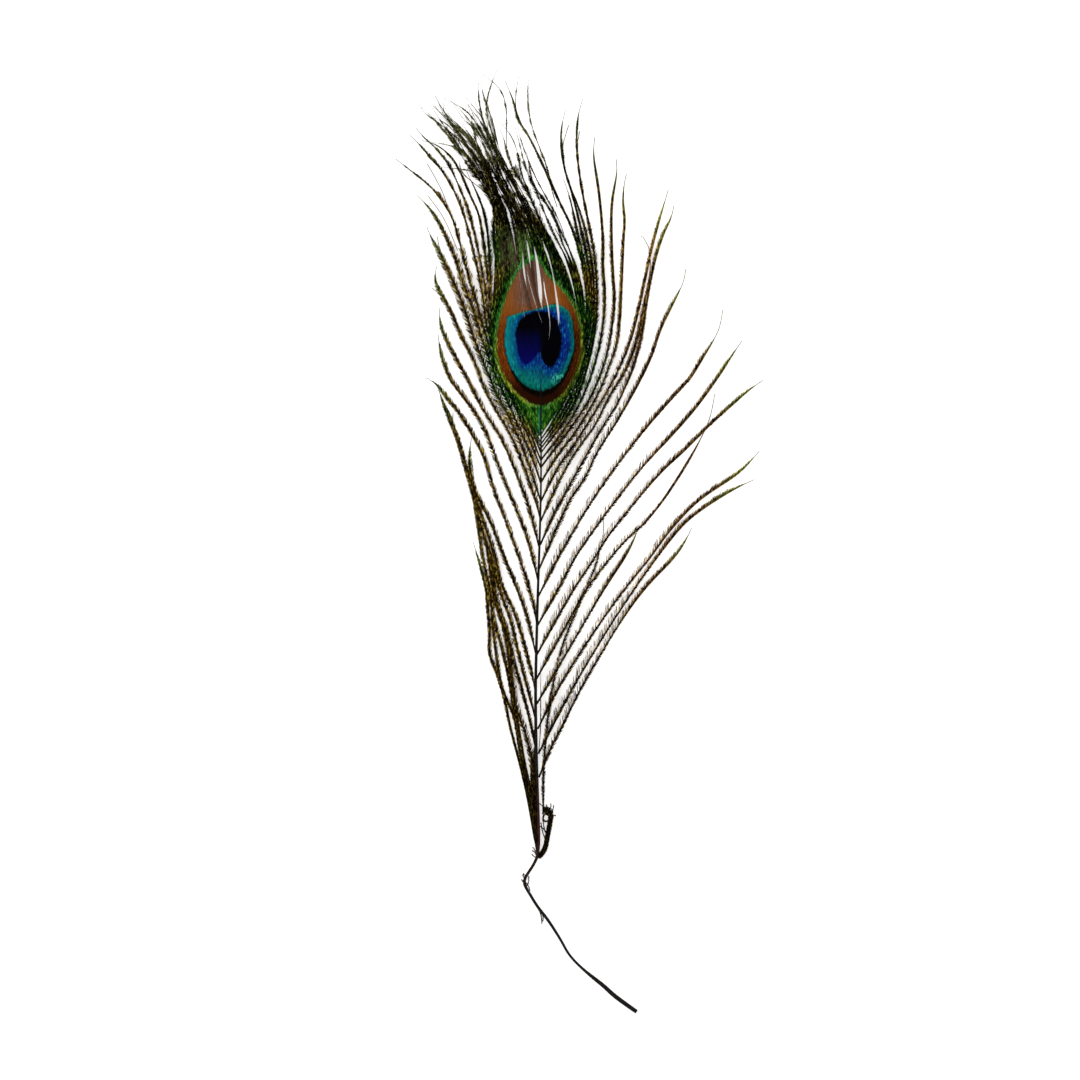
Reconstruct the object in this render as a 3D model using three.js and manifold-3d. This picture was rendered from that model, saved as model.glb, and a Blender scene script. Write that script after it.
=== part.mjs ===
// Peacock tail feather lying on a table, in millimetres, +Z up, +Y from the quill to the tip.
// One grown piece: quill and shaft, the eye's close vane, and the barbs gathered into locks.

import * as THREE from 'three';
import Module from 'manifold-3d';
import { mergeVertices } from 'three/addons/utils/BufferGeometryUtils.js';

const wasm = await Module();
wasm.setup();

// Lock sections: a flat diamond, a ridge for the barb's core with a fringe sloping off both sides.
const LOCK_WIDTH = 2.0;
const LOCK_THICKNESS = 0.75;
const LOCK_TIP_SCALE = 0.3;
const LOCK_ROOT_SCALE = 0.4;
const LOCK_STEP = 11;

// The eye's vane: its half thickness, and how far its border hangs below its middle.
const EYE_HALF_THICKNESS = 0.5;
const EYE_DROOP = 0.8;
const EYE_MIDDLE = [0, 166];

// Shaft stations: x, y, height of the middle, radius. The lowest stretch lies on the table.
const SHAFT = [
  [31.0, -49.0, 0.60, 0.75],
  [27.3, -46.4, 0.60, 0.80],
  [23.6, -43.6, 0.60, 0.82],
  [19.4, -40.0, 0.60, 0.82],
  [14.6, -35.8, 0.60, 0.82],
  [10.6, -31.6, 0.60, 0.82],
  [7.6, -27.6, 0.62, 0.82],
  [4.8, -23.4, 0.70, 0.80],
  [1.9, -19.2, 0.85, 0.80],
  [-0.8, -15.4, 1.00, 0.78],
  [-3.0, -11.8, 1.20, 0.76],
  [-4.6, -8.9, 1.40, 0.75],
  [-5.1, -7.4, 1.55, 0.75],
  [-4.8, -5.9, 1.65, 0.74],
  [-3.8, -4.3, 1.80, 0.73],
  [-2.2, -1.8, 2.00, 0.72],
  [-1.0, 0.8, 2.20, 0.72],
  [-0.5, 4.5, 2.45, 0.70],
  [-0.4, 9.0, 2.75, 0.69],
  [-0.5, 14.0, 3.00, 0.68],
  [-0.9, 25.0, 3.50, 0.65],
  [-1.3, 40.0, 4.10, 0.60],
  [-1.4, 55.0, 4.60, 0.56],
  [-1.1, 70.0, 4.90, 0.52],
  [-0.7, 85.0, 5.10, 0.48],
  [-0.2, 100.0, 5.20, 0.43],
  [0.3, 120.0, 5.10, 0.38],
  [0.3, 140.0, 4.90, 0.33],
  [0.2, 155.0, 4.70, 0.28],
  [0.2, 164.0, 4.60, 0.22],
];

// Outline of the eye's vane, anticlockwise from its right edge.
const EYE_OUTLINE = [
  [14.4, 166], [13.9, 172], [11.9, 178.5], [8.6, 184], [4.8, 188.5], [-1, 192.5],
  [-7, 189.5], [-11.8, 182], [-14.0, 174], [-14.6, 166], [-13.6, 157], [-10.6, 150],
  [-5, 143.5], [0, 137.5], [5, 143], [10, 149.5], [13.2, 157.5],
];

// Locks of the right side, from the lowest root up. Each path runs from the shaft to the tip.
const RIGHT_LOCKS = [
  [[-0.3, 18], [0.8, 28], [4, 37], [10, 48.5], [17, 60.5], [26, 76], [38, 92], [44, 98], [48.7, 106.3]],
  [[-0.9, 30], [3, 41], [11, 56], [23, 75.5], [35, 93.5], [45, 106.5], [55, 114.5], [68.7, 121.8]],
  [[-1.2, 38], [3, 49], [13, 66.5], [25, 84], [37, 99], [45, 109.5], [55, 118.5], [65, 125], [70.5, 131]],
  [[-1.3, 35], [2, 47], [4.5, 60], [12, 80], [18.5, 96], [20.6, 104.5], [20.3, 109]],
  [[-1.3, 48], [6, 62], [12, 72], [21, 87.5], [29, 100], [32, 107]],
  [[-1.3, 57], [5, 69], [14, 85.5], [22, 96], [32, 106.3], [40, 116], [49, 130], [54, 140], [56.2, 149.5]],
  [[-1.1, 65], [5, 76.5], [17, 96], [28, 111.5], [40, 125.5], [55, 140], [65, 148.5], [71.7, 153.7]],
  [[-0.9, 74], [6, 87], [18, 106.5], [30, 122.5], [40, 133.7], [50, 145], [60, 159], [64.8, 166.3]],
  [[-0.6, 83.5], [6, 97], [17, 115.5], [30, 133.5], [40, 145.5], [48, 154], [55, 165], [58.7, 176.3]],
  [[-0.2, 92.5], [4, 103], [10, 116], [21, 135], [31, 152], [36.8, 164.8], [43.1, 179.2], [46.7, 189.2]],
  [[0.1, 100.5], [4.5, 110.5], [14, 128], [25, 147], [31.3, 163.7], [35.3, 184], [38.7, 198.4], [42.9, 209.7]],
  [[0.2, 108], [7, 123], [17, 138], [27.5, 157], [32, 170], [34.6, 185], [35.3, 194], [32.4, 200]],
  [[0.3, 114.5], [6, 126], [16, 141], [26.5, 160], [31.1, 175], [34.4, 190], [37.9, 203.4], [41.2, 214.8]],
  [[0.3, 120.5], [6, 130], [16, 145], [22.8, 160], [25.7, 175], [26.5, 190], [27.4, 205.3], [26.5, 212], [27.8, 219.9]],
  [[0.3, 125.5], [9, 137], [17, 150], [22, 165], [23.9, 180], [23.2, 195], [23, 210.1], [24.4, 224.8]],
  [[0.3, 128], [9, 139.5], [16.2, 155], [20, 170], [20.4, 185], [20.2, 198.2], [18.9, 213.8], [17.1, 227.1], [17.6, 231.7]],
  [[0.3, 130.5], [9, 142.5], [15.5, 158], [18, 176], [17.5, 193], [14.8, 207.5], [12.3, 223.4], [11.9, 235.2], [13.7, 243.9]],
  [[0.3, 132.5], [9, 145.5], [14.8, 160], [16.6, 176], [15.6, 190], [12.6, 205], [8.6, 218.5], [7, 229], [8.2, 240.4]],
  [[0.3, 134.5], [9, 148.5], [14.2, 165], [14.8, 180], [12.4, 194], [7.6, 208.2], [1, 222.3], [-5.7, 235.6], [-11.2, 249.9]],
];

// Locks of the left side, from the lowest root up. The first eight cling together in a bundle.
const LEFT_LOCKS = [
  [[-0.4, 4], [-3.1, 13], [-6.5, 33], [-11.8, 52.5], [-16.2, 65.5], [-16.4, 76], [-18.4, 91], [-21.4, 101.7]],
  [[-0.6, 12], [-4.5, 28], [-9.5, 46], [-13.3, 61], [-15.3, 76.3], [-17.3, 92.2], [-19.6, 105], [-20.6, 113]],
  [[-0.8, 20], [-5, 36], [-9.6, 55], [-12, 67.7], [-14.9, 80], [-16.1, 97.6], [-19, 109], [-22.6, 122.3], [-23.6, 128]],
  [[-1.0, 27], [-5, 42], [-8.8, 57.8], [-10.8, 70.1], [-14.5, 84], [-16.5, 99], [-20.2, 112.2], [-24.5, 128.5], [-29.4, 142], [-32.7, 151.5]],
  [[-1.2, 34], [-5.1, 52.9], [-9.2, 66.8], [-13.3, 79.1], [-14.9, 91.4], [-18.5, 103.5]],
  [[-1.3, 42], [-4.7, 51.6], [-8.8, 66], [-12, 83.6], [-16.1, 97.6], [-19.2, 107.5]],
  [[-1.4, 50], [-4.3, 61.9], [-9.2, 76.3], [-13.3, 88.5], [-17.5, 104], [-21.3, 118]],
  [[-1.4, 55], [-3.8, 66.4], [-9.6, 82.4], [-14.5, 95], [-18.5, 107.5], [-22.5, 121.5], [-22.6, 131], [-22, 135.3]],
  [[-1.2, 64], [-4.3, 78.7], [-8.8, 90.2], [-13.3, 101.6], [-18, 112.8], [-22.5, 122], [-26.6, 135.3], [-32.5, 150.3]],
  [[-0.9, 74], [-4.7, 91.8], [-9.6, 104.9], [-15, 119.3], [-21.4, 135.6], [-29.1, 147], [-34.3, 153.4], [-36.8, 154]],
  [[-0.5, 89.5], [-4, 103], [-9.7, 117.1], [-16.5, 135.3], [-24.5, 148.2], [-30.3, 157.9], [-32.3, 163.8], [-32.8, 168.7]],
  [[-0.2, 100], [-3, 111.3], [-9.1, 127.6], [-16.5, 141.4], [-24.2, 155.3], [-31.3, 169.4], [-32.4, 173.6], [-32.2, 176.9]],
  [[0.1, 108.5], [-4.5, 123.9], [-11.3, 139.6], [-18.5, 154.3], [-25.1, 167.4], [-32.3, 182.2], [-34.1, 187.1], [-33, 190.4]],
  [[0.3, 115], [-4.8, 130], [-9.1, 140], [-14.2, 150], [-18.2, 160], [-22.2, 170], [-28, 185.8], [-33.9, 197.9], [-36.2, 202.9]],
  [[0.3, 120.5], [-3, 130], [-7.3, 140], [-12.2, 150], [-16.2, 160], [-22.4, 178.9], [-26, 189.4], [-30.3, 200.2], [-39.4, 213]],
  [[0.3, 125.7], [-5.7, 140], [-10.7, 150], [-14.8, 160], [-18, 170], [-21.8, 182.9], [-25.4, 196.6], [-31, 210.8], [-46.3, 224.8]],
  [[0.3, 127.9], [-4.6, 140], [-9.6, 150], [-13.8, 160], [-16.9, 170], [-19.5, 186.1], [-22.4, 199.9], [-28.9, 216.7], [-41.8, 232.4]],
  [[0.3, 130.4], [-3.6, 140], [-8.8, 150], [-13, 160], [-15.9, 170], [-18.5, 188], [-22.6, 206.9], [-28.9, 222.3], [-39.7, 234.8]],
  [[0.3, 132.5], [-3, 139.4], [-8.4, 150], [-12.6, 160], [-15.3, 170], [-16.9, 190], [-19, 204.5], [-25.4, 220.3], [-38, 230.7]],
  [[0.3, 134.5], [-7.4, 148], [-13, 163], [-14.9, 178], [-15.8, 192], [-18.6, 205], [-22.6, 218], [-28.2, 228], [-33.5, 236]],
];

// Locks of the crest: the ends of the eye's barbs, swept together and then apart at the tips.
const CREST_LOCKS = [
  [[-9, 166], [-11.6, 180], [-13.4, 195], [-15, 210], [-19.9, 222.3], [-26, 230], [-33.1, 237.3], [-39.4, 243.2]],
  [[-7, 168], [-9.6, 182], [-12.2, 197], [-13.9, 211], [-18.6, 223.5], [-25, 234], [-31.5, 239.2], [-36.2, 242.2]],
  [[-5.2, 168], [-7.6, 183], [-10.6, 198], [-12.8, 212], [-17, 225], [-22.5, 235], [-28, 241], [-34.1, 245.3]],
  [[-3.6, 168], [-5.4, 184], [-9, 199], [-11.6, 213], [-15.6, 226], [-20, 235], [-24.2, 241], [-30, 244.3]],
  [[-2.2, 168], [-3.4, 185], [-7.2, 199], [-10.4, 213.5], [-14.4, 226.5], [-18.2, 236], [-22.6, 244.5], [-24.8, 246]],
  [[-0.8, 168], [-1.4, 185], [-5.4, 199], [-9.2, 213.5], [-13.2, 227], [-16.8, 238], [-18.8, 245], [-19.8, 252]],
  [[0.6, 167], [0.8, 183], [-3.4, 199], [-8, 213.5], [-12.2, 227], [-15.2, 238.7], [-16.2, 245.3], [-13.2, 254.4]],
  [[2.2, 166], [3, 180], [-0.6, 197], [-6.6, 213], [-11, 227], [-14.6, 240], [-15.6, 248], [-18.8, 252.6]],
  [[4, 166], [5.2, 179], [2, 196], [-4.8, 211.5], [-9.6, 225], [-11.2, 234], [-10.6, 242], [-13, 248.6]],
  [[6, 166], [7.8, 178], [5.4, 193], [-1, 208], [-5.4, 219.5], [-8.6, 229], [-12.2, 237]],
  [[8.2, 166], [10.2, 178], [8.4, 191], [3.2, 205], [-0.5, 214.5], [-3.4, 221.2], [-6.3, 230], [-7.1, 237]],
  [[11.2, 166], [12.6, 179], [10.4, 192], [6, 205.5], [2.8, 218.2], [-0.8, 229.3], [-3.6, 241.1], [-3.2, 252.8]],
];

// The tuft of down where the barbs begin.
const TUFT_LOCKS = [
  [[-0.2, 1], [2.6, 8], [4, 14], [2.4, 17.4]],
  [[0, 8], [1.8, 11], [1, 16.5]],
  [[-3.4, -11], [-3.7, -7.6], [-4.5, -4.9]],
];

// Height of the shaft's middle above the table beside a given y.
function shaftHeight(y) {
  for (let i = 1; i < SHAFT.length; i += 1) {
    const [, y0, z0] = SHAFT[i - 1];
    const [, y1, z1] = SHAFT[i];
    if (y <= y1) {
      const t = Math.max(0, (y - y0) / (y1 - y0));
      return z0 + t * (z1 - z0);
    }
  }
  return SHAFT[SHAFT.length - 1][2];
}

// Share of the full width at a fraction t of the way along a lock.
function lockProfile(t) {
  const opening = LOCK_ROOT_SCALE + (1 - LOCK_ROOT_SCALE) * Math.min(1, t / 0.12);
  const closing = t < 0.6 ? 1 : 1 - (1 - LOCK_TIP_SCALE) * ((t - 0.6) / 0.4);
  return opening * closing;
}

// Bends a unit cylinder along a curve. The section at t is 2 * half(t)[0] wide, 2 * half(t)[1] thick.
function bend(curve, sides, steps, half) {
  const rod = new THREE.CylinderGeometry(1, 1, 1, sides, steps);
  const position = rod.getAttribute('position');
  const up = new THREE.Vector3(0, 0, 1);
  const point = new THREE.Vector3();
  const tangent = new THREE.Vector3();
  const side = new THREE.Vector3();
  const crown = new THREE.Vector3();
  for (let i = 0; i < position.count; i += 1) {
    const t = THREE.MathUtils.clamp(position.getY(i) + 0.5, 0, 1);
    const [halfWidth, halfThickness] = half(t);
    curve.getPoint(t, point);
    curve.getTangent(t, tangent);
    side.crossVectors(tangent, up).normalize();
    crown.crossVectors(side, tangent).normalize();
    point.addScaledVector(side, position.getX(i) * halfWidth);
    point.addScaledVector(crown, position.getZ(i) * halfThickness);
    position.setXYZ(i, point.x, point.y, point.z);
  }
  return rod;
}

function toManifold(geometry) {
  geometry.deleteAttribute('normal');
  geometry.deleteAttribute('uv');
  const merged = mergeVertices(geometry, 1e-4);
  return new wasm.Manifold(new wasm.Mesh({
    numProp: 3,
    vertProperties: new Float32Array(merged.getAttribute('position').array),
    triVerts: new Uint32Array(merged.index.array),
  }));
}

function shaft() {
  const middle = new THREE.CatmullRomCurve3(SHAFT.map(([x, y, z]) => new THREE.Vector3(x, y, z)));
  const radius = new THREE.CatmullRomCurve3(SHAFT.map(([, y, , r]) => new THREE.Vector3(y, r, 0)));
  const half = (t) => {
    const r = radius.getPoint(t).y;
    return [r, r];
  };
  return toManifold(bend(middle, 10, 2 * (SHAFT.length - 1), half));
}

// A lock leaves the shaft at its height and sinks along an arc until its tip lies on the table.
function lock(path, width, rootHeight) {
  const flat = new THREE.CatmullRomCurve3(path.map(([x, y]) => new THREE.Vector3(x, y, 0)));
  const steps = Math.max(6, Math.round(flat.getLength() / LOCK_STEP));
  const tipHeight = 0.9 * LOCK_TIP_SCALE * LOCK_THICKNESS / 2;
  const points = [];
  for (let i = 0; i <= steps; i += 1) {
    const point = flat.getPointAt(i / steps);
    const sink = Math.cos(0.5 * Math.PI * i / steps);
    point.z = tipHeight + (rootHeight - tipHeight) * sink;
    points.push(point);
  }
  const half = (t) => {
    const share = lockProfile(t);
    return [share * width / 2, share * LOCK_THICKNESS / 2];
  };
  return toManifold(bend(new THREE.CatmullRomCurve3(points), 4, steps, half));
}

// The eye's vane: a ball pressed flat, its rim drawn out to the outline and hung a little low.
function eyeVane() {
  const rim = new THREE.CatmullRomCurve3(
    EYE_OUTLINE.map(([x, y]) => new THREE.Vector3(x, y, 0)), true);
  const ball = new THREE.SphereGeometry(1, 34, 8);
  const position = ball.getAttribute('position');
  for (let i = 0; i < position.count; i += 1) {
    const x = position.getX(i);
    const z = position.getZ(i);
    const out = Math.hypot(x, z);
    const turn = (Math.atan2(z, x) / (2 * Math.PI) + 1) % 1;
    const edge = rim.getPoint(out > 1e-6 ? turn : 0);
    position.setXYZ(i,
      EYE_MIDDLE[0] + out * (edge.x - EYE_MIDDLE[0]),
      EYE_MIDDLE[1] + out * (edge.y - EYE_MIDDLE[1]),
      shaftHeight(EYE_MIDDLE[1]) - EYE_DROOP * out * out - position.getY(i) * EYE_HALF_THICKNESS);
  }
  return toManifold(ball);
}

const solids = [shaft(), eyeVane()];
for (const path of [...RIGHT_LOCKS, ...LEFT_LOCKS]) {
  solids.push(lock(path, LOCK_WIDTH, shaftHeight(path[0][1])));
}
for (const path of CREST_LOCKS) {
  solids.push(lock(path, LOCK_WIDTH, shaftHeight(EYE_MIDDLE[1])));
}
for (const path of TUFT_LOCKS) {
  solids.push(lock(path, 0.6 * LOCK_WIDTH, shaftHeight(path[0][1])));
}

// The table's plane flattens the underside of the quill and the tips that lie on it.
const above = wasm.Manifold.cube([400, 600, 60]).translate([-200, -200, 0]);
const feather = wasm.Manifold.union(solids).intersect(above);

const mesh = feather.getMesh();
const grown = new THREE.BufferGeometry();
grown.setAttribute('position', new THREE.BufferAttribute(new Float32Array(mesh.vertProperties), 3));
grown.setIndex(new THREE.BufferAttribute(new Uint32Array(mesh.triVerts), 1));
grown.computeBoundingBox();
const middle = grown.boundingBox.getCenter(new THREE.Vector3());
grown.translate(-middle.x, -middle.y, 0);
grown.computeVertexNormals();

const part = new THREE.Group();
const body = new THREE.Mesh(grown, new THREE.MeshStandardMaterial({
  color: 0x33401f,
  roughness: 0.55,
  metalness: 0.1,
}));
body.name = 'feather';
part.add(body);

export default part;
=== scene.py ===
"""The looks of a peacock tail feather: its shaft, its barbs with their barbules, and its eye."""

import math

import bmesh
import bpy
import numpy as np
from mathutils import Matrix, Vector


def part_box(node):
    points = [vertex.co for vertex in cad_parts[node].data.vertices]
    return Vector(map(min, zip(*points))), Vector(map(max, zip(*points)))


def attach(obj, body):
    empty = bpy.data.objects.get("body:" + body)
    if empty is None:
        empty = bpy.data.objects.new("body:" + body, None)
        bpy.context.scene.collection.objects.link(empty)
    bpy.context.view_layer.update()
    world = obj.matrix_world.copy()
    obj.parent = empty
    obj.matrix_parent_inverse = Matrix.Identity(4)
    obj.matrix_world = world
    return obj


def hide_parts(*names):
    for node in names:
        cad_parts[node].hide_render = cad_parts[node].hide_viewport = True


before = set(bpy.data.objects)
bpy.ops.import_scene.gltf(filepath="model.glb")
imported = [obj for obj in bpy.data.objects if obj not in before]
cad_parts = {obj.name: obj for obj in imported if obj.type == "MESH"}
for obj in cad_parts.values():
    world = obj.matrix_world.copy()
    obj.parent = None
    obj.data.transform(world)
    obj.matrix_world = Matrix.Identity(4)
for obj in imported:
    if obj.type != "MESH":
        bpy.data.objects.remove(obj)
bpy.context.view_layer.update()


# ---------------------------------------------------------------- quill and shaft
# The bare quill bends in from the side, stands up as a thin straight shaft between the barbs and
# ends inside the eye. It is dark horn, glossy, with a red-brown flush low down. One tube is drawn
# out from the quill's cut end, station by station.

MM = 0.001
# The feather is drawn in millimetres from a point on the shaft near the first barbs. Its furthest
# tips, to the right and at the top, say where that point lies in the frame.
RIGHT_REACH = 71.885
TOP_REACH = 254.48
_, feather_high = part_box("feather")
ORIGIN = np.array((feather_high.x - RIGHT_REACH * MM, feather_high.y - TOP_REACH * MM, 0.0))


def ways(table):
    """Routes from a table: one to a line, each point as x,y and maybe more, without spaces. A line
    that is set in further goes on with the one before."""
    lines = table.strip("\n").replace("\n" + 8 * " ", " ").split("\n")
    return [[tuple(map(float, point.split(","))) for point in line.split()] for line in lines]


# x, y, height of the middle, radius
SHAFT = np.array(ways("""
    31,-49,0.6,0.68 27.3,-46.4,0.6,0.72 23.6,-43.6,0.6,0.72 20.4,-40.7,0.6,0.68
        17.4,-38.3,0.6,0.62 14.6,-36,0.6,0.48 11.2,-32.8,0.6,0.42 9,-30.1,0.62,0.42
        6.9,-26.4,0.66,0.43 4.7,-22.8,0.72,0.46 2.3,-19.2,0.85,0.5 -0.9,-15,1.02,0.48
        -3,-11.6,1.2,0.48 -4.6,-8.8,1.4,0.5 -5.05,-7.4,1.55,0.52 -4.8,-6,1.65,0.5
        -3.8,-4.3,1.8,0.48 -2.2,-1.8,2,0.48 -1,0.8,2.2,0.5 -0.5,4.5,2.45,0.52 -0.45,9,2.75,0.54
        -0.6,14,3,0.55 -0.95,25,3.5,0.54 -1.3,40,4.1,0.52 -1.4,55,4.6,0.49 -1.1,70,4.9,0.46
        -0.7,85,5.1,0.43 -0.2,100,5.2,0.38 0.3,120,5.1,0.31 0.3,140,4.9,0.24 0.2,155,4.7,0.19
        0.2,164,4.6,0.14
""")[0])
SHAFT_SIDES = 14
SHAFT_STEP = 1.2
CURVE_STEPS = 16


def run_along(line):
    """How far along a line each of its points lies."""
    return np.concatenate(([0], np.cumsum(np.linalg.norm(np.diff(line, axis=0), axis=1))))


def read_at(places, run, rows):
    """Rows known at each point of a run, read at other places on it."""
    return np.column_stack([np.interp(places, run, column) for column in rows.T])


def smooth_line(points, step):
    """Evenly spaced points on a smooth curve that passes through given ones."""
    p = np.array(points, float)
    p = np.vstack((2 * p[0] - p[1], p, 2 * p[-1] - p[-2]))
    knots = np.concatenate(([0], np.cumsum(np.sqrt(np.linalg.norm(np.diff(p, axis=0), axis=1)))))
    pieces = []
    for i in range(1, len(p) - 2):
        k0, k1, k2, k3 = knots[i - 1:i + 3]
        t = np.linspace(k1, k2, CURVE_STEPS + 1)[:-1, None]
        a1 = (k1 - t) / (k1 - k0) * p[i - 1] + (t - k0) / (k1 - k0) * p[i]
        a2 = (k2 - t) / (k2 - k1) * p[i] + (t - k1) / (k2 - k1) * p[i + 1]
        a3 = (k3 - t) / (k3 - k2) * p[i + 1] + (t - k2) / (k3 - k2) * p[i + 2]
        b1 = (k2 - t) / (k2 - k0) * a1 + (t - k0) / (k2 - k0) * a2
        b2 = (k3 - t) / (k3 - k1) * a2 + (t - k1) / (k3 - k1) * a3
        pieces.append((k2 - t) / (k2 - k1) * b1 + (t - k1) / (k2 - k1) * b2)
    fine = np.vstack((*pieces, p[-2:-1]))
    run = run_along(fine)
    even = np.linspace(0, run[-1], max(3, int(run[-1] / step) + 1))
    return read_at(even, run, fine)


def shaft_mesh():
    line = smooth_line(SHAFT, SHAFT_STEP)
    ahead = np.gradient(line[:, :3], axis=0)
    bm = bmesh.new()
    bmesh.ops.create_circle(bm, cap_ends=True, segments=SHAFT_SIDES, radius=1.0)
    bm.faces.ensure_lookup_table()
    face = bm.faces[0]
    turns = [2 * math.pi * i / SHAFT_SIDES for i in range(SHAFT_SIDES)]
    for i, (x, y, z, radius) in enumerate(line.tolist()):
        if i:
            grown = bmesh.ops.extrude_face_region(bm, geom=[face])["geom"]
            face = next(g for g in grown if isinstance(g, bmesh.types.BMFace))
        forward = Vector(ahead[i]).normalized()
        side = forward.cross(Vector((0, 0, 1))).normalized()
        crown = side.cross(forward)
        for vert, turn in zip(face.verts, turns):
            place = Vector((x, y, z)) + radius * (math.cos(turn) * side + math.sin(turn) * crown)
            place.z = max(place.z, 0.0)
            vert.co = place * MM + Vector(ORIGIN)
    bmesh.ops.recalc_face_normals(bm, faces=bm.faces)
    mesh = bpy.data.meshes.new("shaft")
    bm.to_mesh(mesh)
    bm.free()
    mesh.shade_smooth()
    return mesh


def colour(code):
    """A colour as the shader wants it, from the way it reads on a screen."""
    parts = [int(code[i:i + 2], 16) / 255 for i in (1, 3, 5)]
    return (*[c / 12.92 if c <= 0.04045 else ((c + 0.055) / 1.055) ** 2.4 for c in parts], 1.0)


class Amount:
    """A number that differs over a surface. Sums with it are written as with plain numbers."""

    def __init__(self, finish, socket):
        self.finish = finish
        self.socket = socket

    def __add__(self, other):
        return self.finish.sum("ADD", self, other)

    def __sub__(self, other):
        return self.finish.sum("SUBTRACT", self, other)

    def __rsub__(self, other):
        return self.finish.sum("SUBTRACT", other, self)

    def __mul__(self, other):
        return self.finish.sum("MULTIPLY", self, other)

    def __truediv__(self, other):
        return self.finish.sum("DIVIDE", self, other)

    def __abs__(self):
        return self.finish.sum("ABSOLUTE", self)

    def larger(self, other):
        return self.finish.sum("MAXIMUM", self, other)

    def held(self):
        """The result just worked out, held between 0 and 1."""
        self.socket.node.use_clamp = True
        return self

    def rise(self, start, rate):
        """0 up to a start, then climbing to 1 at a rate."""
        return ((self - start) * rate).held()

    def fall(self, end, rate):
        """Falling at a rate to 0 at an end, and 0 past it."""
        return ((end - self) * rate).held()


class Finish:
    """A material and short ways to add its nodes."""

    def __init__(self, name, roughness, specular):
        self.material = bpy.data.materials.new(name)
        self.material.use_nodes = True
        self.tree = self.material.node_tree
        self.shader = self.tree.nodes["Principled BSDF"]
        self.shader.inputs["Roughness"].default_value = roughness
        self.shader.inputs["Specular IOR Level"].default_value = specular

    def fill(self, socket, value):
        """Puts a number, a colour or what another node gives into a socket."""
        value = getattr(value, "socket", value)
        if isinstance(value, bpy.types.NodeSocket):
            self.tree.links.new(value, socket)
        else:
            socket.default_value = colour(value) if isinstance(value, str) else value

    def add(self, kind, inputs=(), **settings):
        node = self.tree.nodes.new(kind)
        for key, value in settings.items():
            setattr(node, key, value)
        for key, value in dict(inputs).items():
            self.fill(node.inputs[key], value)
        return node

    def sum(self, operation, *values):
        node = self.add("ShaderNodeMath", enumerate(values), operation=operation)
        return Amount(self, node.outputs[0])

    def parts(self, kind, source):
        """The three parts of a place (XYZ) or of a colour (Color)."""
        node = self.add("ShaderNodeSeparate" + kind, {0: source})
        return [Amount(self, socket) for socket in node.outputs]

    def mix(self, share, first, second):
        return self.add("ShaderNodeMix", {0: share, 6: first, 7: second}, data_type="RGBA").outputs[2]

    def ramp(self, value, stops):
        node = self.add("ShaderNodeValToRGB", {"Fac": value})
        elements = node.color_ramp.elements
        while len(elements) < len(stops):
            elements.new(0.5)
        for element, (place, code) in zip(elements, stops.items()):
            element.position = place
            element.color = colour(code)
        return node.outputs["Color"]

    def noise(self, vector, scale, detail=2.0):
        node = self.add("ShaderNodeTexNoise", {"Vector": vector, "Scale": scale, "Detail": detail})
        return Amount(self, node.outputs["Fac"])

    def paint(self, result):
        self.fill(self.shader.inputs["Base Color"], result)


# Where the red-brown flush is strongest, how far it reaches, and where the shaft turns blue.
FLUSH_MIDDLE = 12.0
FLUSH_REACH = 16.0
BLUE_FROM = 150.0
HORN_GRAIN = 900.0


def shaft_finish():
    finish = Finish("dark_horn", roughness=0.45, specular=0.12)
    place = finish.add("ShaderNodeTexCoord").outputs["Object"]
    _, y, _ = finish.parts("XYZ", place)
    off = abs(y - (ORIGIN[1] + FLUSH_MIDDLE * MM))
    flush = (1.0 - off / (FLUSH_REACH * MM)).held()
    streak = finish.noise(place, HORN_GRAIN)
    horn = finish.ramp(streak, {0.3: "#030201", 0.7: "#0e0804"})
    blue = y.rise(ORIGIN[1] + BLUE_FROM * MM, 0.4 / MM)
    horn = finish.mix(blue, horn, "#063c58")
    finish.paint(finish.mix(flush * (streak * 0.9), horn, "#4a160a"))
    ridges = finish.add("ShaderNodeBump", {"Height": streak, "Strength": 0.25, "Distance": 0.0002})
    finish.fill(finish.shader.inputs["Normal"], ridges.outputs["Normal"])
    return finish.material


def in_scene(name, data):
    thing = bpy.data.objects.new(name, data)
    bpy.context.scene.collection.objects.link(thing)
    return thing


shaft = in_scene("shaft", shaft_mesh())
shaft.data.materials.append(shaft_finish())
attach(shaft, "root")


# ---------------------------------------------------------------- loose barbs of the right side
# Each barb is a tapering dark core that leaves the shaft forwards and carries barbules on both
# sides, longer on the side that faces the tip. Its last stretch is a bare hair. The core is a
# closed tube, each barbule a closed sliver, and all are joined in one mesh.

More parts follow.
